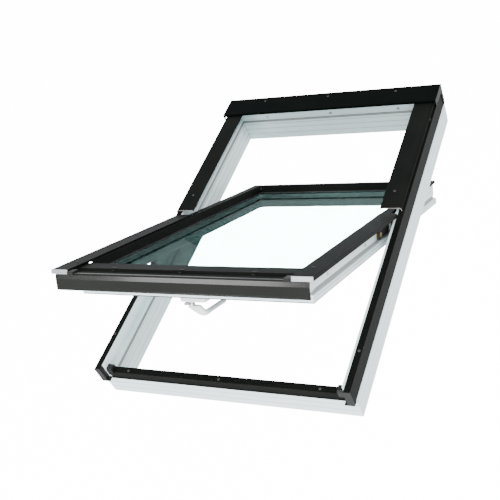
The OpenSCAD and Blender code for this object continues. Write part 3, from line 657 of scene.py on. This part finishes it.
UP, DOWN, UP_SLOPE = (0, 0, 1), (0, 0, -1), (0, 1, 0)
BOTH = (-1, 1)
screws("hood_heads", "hood_screws", "frame",
       [head((x, 573, 152), UP, 4, 2) for x in (-243, 0, 243)], material=DARK_HEAD)
screws("bottom_heads", "bottom_cladding_screws", "frame",
       [head((x, -583, 98.5), UP, 4, 1.8) for x in (-295, 0, 295)], material=DARK_HEAD)
screws("upper_heads", "upper_cover_screws", "frame",
       [head((s * 347, 94, 144), UP, 4, 2) for s in BOTH], material=DARK_HEAD)
screws("rivet_heads", "cladding_rivets", "frame",
       [head((s * 380, y, 128), UP, 4, 1.3, 0.3, 0.5) for s in BOTH for y in (-478, 440)],
       material=DARK_HEAD)
screws("cover_heads", "sash_cover_screws", "sash",
       [head((s * 346, y, 141), UP, 4, 2) for s in BOTH for y in (-561, -103)], True, DARK_HEAD)
screws("wall_heads", "sash_side_screws", "sash",
       [head((s * 338, y, 95), (s, 0, 0), 4.4, 1.6) for s in BOTH for y in (-465, -190)], True)
screws("hinge_heads", "hinge_sash_screws", "sash",
       [head((s * 342, y, 118), (s, 0, 0), 4.2, 1.6) for s in BOTH for y in (-80, -24)], True, YELLOW)
screws("ledge_heads", "hinge_frame_screws", "frame",
       [head((s * 359.4, y, 98), UP, 3.2, 2) for s in BOTH for y in (-30, 30)])
screws("striker_heads", "striker_screws", "frame",
       [head((x, -568, 20), UP_SLOPE, 4, 1.6) for x in (-24, 4)])
screws("handle_heads", "handle_screws", "sash",
       [head((x, -550, 40), DOWN, 3.6, 1.4) for x in (-28, 30)], True)

# %% [markdown]
# ## The handle
# The lever is a round bar that leaves its hub sideways, bends, and runs up the
# sash as a slimmer grip. It is a tube round a centre line, and its radius
# eases down along the line and closes in a half round at the tip.


# %% Lever
SPINDLE = (-10, -545)
ARM_FOOT = np.array([-12, -545, 34])
BEND_FROM, BEND_CORNER = np.array([14, -545, 13.6]), np.array([24, -545, 6.5])
BEND_TO = np.array([24, -529, 6.5])
GRIP_LENGTH = 93.4
LEVER_TOP = 27.5


def lever_line():
    """Down the slanted arm, round the curve (1-t)^2 a + 2t(1-t) c + t^2 b, and along the grip."""
    t = np.linspace(0, 1, 16)[:, None]
    a, c, b = BEND_FROM, BEND_CORNER, BEND_TO
    arm = ARM_FOOT + np.linspace(0, 1, 14)[:, None] * (a - ARM_FOOT)
    curve = (1 - t) ** 2 * a + 2 * t * (1 - t) * c + t**2 * b
    grip = b + np.linspace(0, 1, 26)[:, None] * np.array([0, GRIP_LENGTH, 0])
    return np.concatenate([arm[:-1], curve, grip[1:]])


def lever_bar(top, n=36):
    """point(a, s) = line(s) + p(s) cos a * across + q(s) sin a * other, cut off flat at the top.

    p and q are the half width and half depth at the distance s along the line. A power
    of 0.8 on the cosine and the sine makes the section a little squarer than round.
    """
    line = lever_line()
    s = np.concatenate([[0], np.cumsum(np.linalg.norm(np.diff(line, axis=0), axis=1))])
    wide = np.interp(s, [0, 20, 33, 50, 70, s[-1]], [15.5, 13.5, 11.0, 9.0, 7.6, 6.8])
    deep = np.interp(s, [0, 33, 50, 70, s[-1]], [7.5, 7.5, 7.4, 6.6, 6.0])
    tip = np.sqrt(np.clip(1 - (1 - np.clip((s[-1] - s) / 6.0, 0, 1)) ** 2, 0.0006, 1))
    along = np.gradient(line, axis=0)
    along /= np.linalg.norm(along, axis=1)[:, None]
    ref = np.array([1.0, 0, 0.6])
    across = ref - (along @ ref)[:, None] * along
    across /= np.linalg.norm(across, axis=1)[:, None]
    other = np.cross(along, across)
    a = np.linspace(0, 2 * math.pi, n, endpoint=False)
    ca = np.sign(np.cos(a)) * np.abs(np.cos(a)) ** 0.8
    sa = np.sign(np.sin(a)) * np.abs(np.sin(a)) ** 0.8
    pts = line[:, None] + (wide * tip)[:, None, None] * ca[None, :, None] * across[:, None] \
        + (deep * tip)[:, None, None] * sa[None, :, None] * other[:, None]
    pts[..., 2] = np.minimum(pts[..., 2], top)
    return pts.reshape(-1, 3), capped(len(line), n), s[-1]


bar_points, bar_faces, reach = lever_bar(LEVER_TOP)


def turned_shape(at, rings, n=48):
    """A lathe shape: rings (radius, height) carried round a vertical line."""
    b = np.linspace(0, 2 * math.pi, n, endpoint=False)
    pts = [np.stack([at[0] + r * np.cos(b), at[1] + r * np.sin(b), np.full(n, z)], 1) for r, z in rings]
    return np.concatenate(pts), capped(len(rings), n)


stem = turned_shape(SPINDLE, [(0.2, 26), (4, 26), (4, 59.5), (0.2, 59.5)])
v, f = joined([(bar_points, bar_faces), stem])
lever = mesh_object("lever_handle", turned(v), f, "handle", LACQUER, smooth=True)
lever.data.set_sharp_from_angle(angle=math.radians(50))
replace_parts(lever, "handle_lever")
print("lever reaches", round(float(reach), 1), "mm along its line")


# %% [markdown]
# The handle's base is a soft-edged plate: a rounded rectangle, stacked in
# levels that draw in by a quarter circle towards its outer face.


# %% Base plate, painted shade on the grip, and small moulded blocks
def soft_block(cx, cy, hx, hy, z0, z1, corner, edge, n=9):
    """Rounded rectangle drawn in by edge (1 - cos a) while it rises by edge sin a.

    z0 is the flat side and z1 the soft one.
    """
    q = np.linspace(0, math.pi / 2, n)
    arc = np.stack([np.cos(q), np.sin(q)], 1)
    turn = [np.array([[c, -s], [s, c]]) for c, s in ((1, 0), (0, 1), (-1, 0), (0, -1))]
    sign = [(1, 1), (-1, 1), (-1, -1), (1, -1)]
    outline = np.concatenate([np.array([sx * (hx - corner), sy * (hy - corner)]) + corner * arc @ t.T
                              for t, (sx, sy) in zip(turn, sign)])
    unit = np.concatenate([arc @ t.T for t in turn])
    up = 1 if z1 > z0 else -1
    b = np.linspace(0, math.pi / 2, 6)
    levels = [(0.0, z0)] + [(edge * (1 - math.cos(k)), z1 - up * edge * (1 - math.sin(k))) for k in b]
    pts = [np.concatenate([outline - d * unit + [cx, cy], np.full((len(outline), 1), z)], 1)
           for d, z in levels]
    return np.concatenate(pts), capped(len(levels), len(outline))


plate = soft_block(2, -546.5, 38, 15.5, 55, 40, 7, 4)
v, f = joined([plate, turned_shape(SPINDLE, [(8.2, 40.5), (8.2, 39.7), (7.8, 39.4), (4.1, 39.4)])])
base = mesh_object("handle_plate", turned(v), f, "sash", LACQUER, smooth=True)
base.data.set_sharp_from_angle(angle=math.radians(40))
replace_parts(base, "handle_base")
# Painted shade: a dark strip along the top of the grip, for the shade on its inner face.
v, f = soft_block(24, -486, 3.4, 38, 11.6, 12.9, 3.2, 0.4)
mesh_object("grip_painted_shade", turned(v), f, "handle", GRIP_PAINTED_SHADE)
CLIP_X = (-205, 0, 205)
clips = joined([soft_block(x, -588, 7, 3, 134, 135.8, 1.2, 0.8) for x in CLIP_X]
               + [soft_block(x, -597.5, 4, 1.5, 128, 131.4, 0.6, 0.5) for x in CLIP_X])
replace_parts(mesh_object("cap_clips", turned(clips[0]), clips[1], "sash", BLACK),
            "glazing_cap_clips")
print("base and clips made")

# %% [markdown]
# ## Stage
# A plain pale floor lies well below the window, so that nothing of it crowds
# the sash. It glows for the lens alone, and more strongly behind glass. A large
# soft light stands above, two more stand in front, and the sky is even and pale.

# %% Floor, light and camera
FLOOR_HALF, FLOOR_Z = 60, -1.6
GLOW, GLOW_BEHIND_GLASS = 14.0, 250.0
floor_mesh = bpy.data.meshes.new("floor")
floor_corners = [(x * FLOOR_HALF, y * FLOOR_HALF, FLOOR_Z) for x, y in ((-1, -1), (1, -1), (1, 1), (-1, 1))]
floor_mesh.from_pydata(floor_corners, [], [(0, 1, 2, 3)])
floor = bpy.data.objects.new("floor", floor_mesh)
bpy.context.scene.collection.objects.link(floor)


def floor_paint():
    """Pale matt paint, glow = lens * (GLOW + GLOW_BEHIND_GLASS * [seen through glass])."""
    m = finish("studio_floor", (0.90, 0.90, 0.90), (0.92, 0.92, 0.92), 0.9, 0.02, grain=40, bump=0.0,
               patch=0.5, specular=0.1)
    t = m.node_tree
    p = t.nodes["Principled BSDF"]
    path, panes, glow, lens = (t.nodes.new(k) for k in ("ShaderNodeLightPath",) + ("ShaderNodeMath",) * 3)
    panes.operation, glow.operation, lens.operation = "GREATER_THAN", "MULTIPLY_ADD", "MULTIPLY"
    panes.inputs[1].default_value = 0.5
    glow.inputs[1].default_value, glow.inputs[2].default_value = GLOW_BEHIND_GLASS, GLOW
    t.links.new(path.outputs["Transparent Depth"], panes.inputs[0])
    t.links.new(panes.outputs[0], glow.inputs[0])
    t.links.new(path.outputs["Is Camera Ray"], lens.inputs[0])
    t.links.new(glow.outputs[0], lens.inputs[1])
    t.links.new(lens.outputs[0], p.inputs["Emission Strength"])
    p.inputs["Emission Color"].default_value = (1, 1, 1, 1)
    return m


floor_mesh.materials.append(floor_paint())

sky = bpy.data.worlds.new("soft_sky")
sky.use_nodes = True
sky.node_tree.nodes["Background"].inputs["Color"].default_value = (0.94, 0.98, 1.0, 1)
sky.node_tree.nodes["Background"].inputs["Strength"].default_value = 1.5
bpy.context.scene.world = sky


def soft_light(name, at, target, size, power):
    """A square light of this size (m) and power (W), turned to face the target."""
    data = bpy.data.lights.new(name, "AREA")
    data.shape, data.size, data.energy = "SQUARE", size, power
    obj = bpy.data.objects.new(name, data)
    obj.location = at
    obj.rotation_euler = (Vector(target) - Vector(at)).to_track_quat("-Z", "Y").to_euler()
    bpy.context.scene.collection.objects.link(obj)


soft_light("key_light", (2.4, -0.6, 4.2), (0, 0, 0.1), 2.6, 230)
soft_light("apron_light", (-1.48, -2.54, 2.37), (0, -0.5, 0.4), 0.9, 45)
soft_light("front_light", (0.9, -4.2, 0.9), (0, 0, 0.1), 2.2, 210)

CAMERA_AT = (1.1240, -1.6741, 1.7971)
CAMERA_AXES = [(0.88712, 0.32256, -0.33010), (-0.01187, 0.73093, 0.68235), (0.46138, -0.60141, 0.65225)]
camera_data = bpy.data.cameras.new("camera")
camera_data.sensor_width = 36.0
camera_data.lens = 61.05
camera_data.clip_start, camera_data.clip_end = 0.05, 300.0
camera = bpy.data.objects.new("camera", camera_data)
place = Matrix(np.array(CAMERA_AXES).T.tolist()).to_4x4()
place.translation = Vector(CAMERA_AT)
camera.matrix_world = place
bpy.context.scene.collection.objects.link(camera)
bpy.context.scene.camera = camera
print("camera at", [round(c, 3) for c in camera.location])
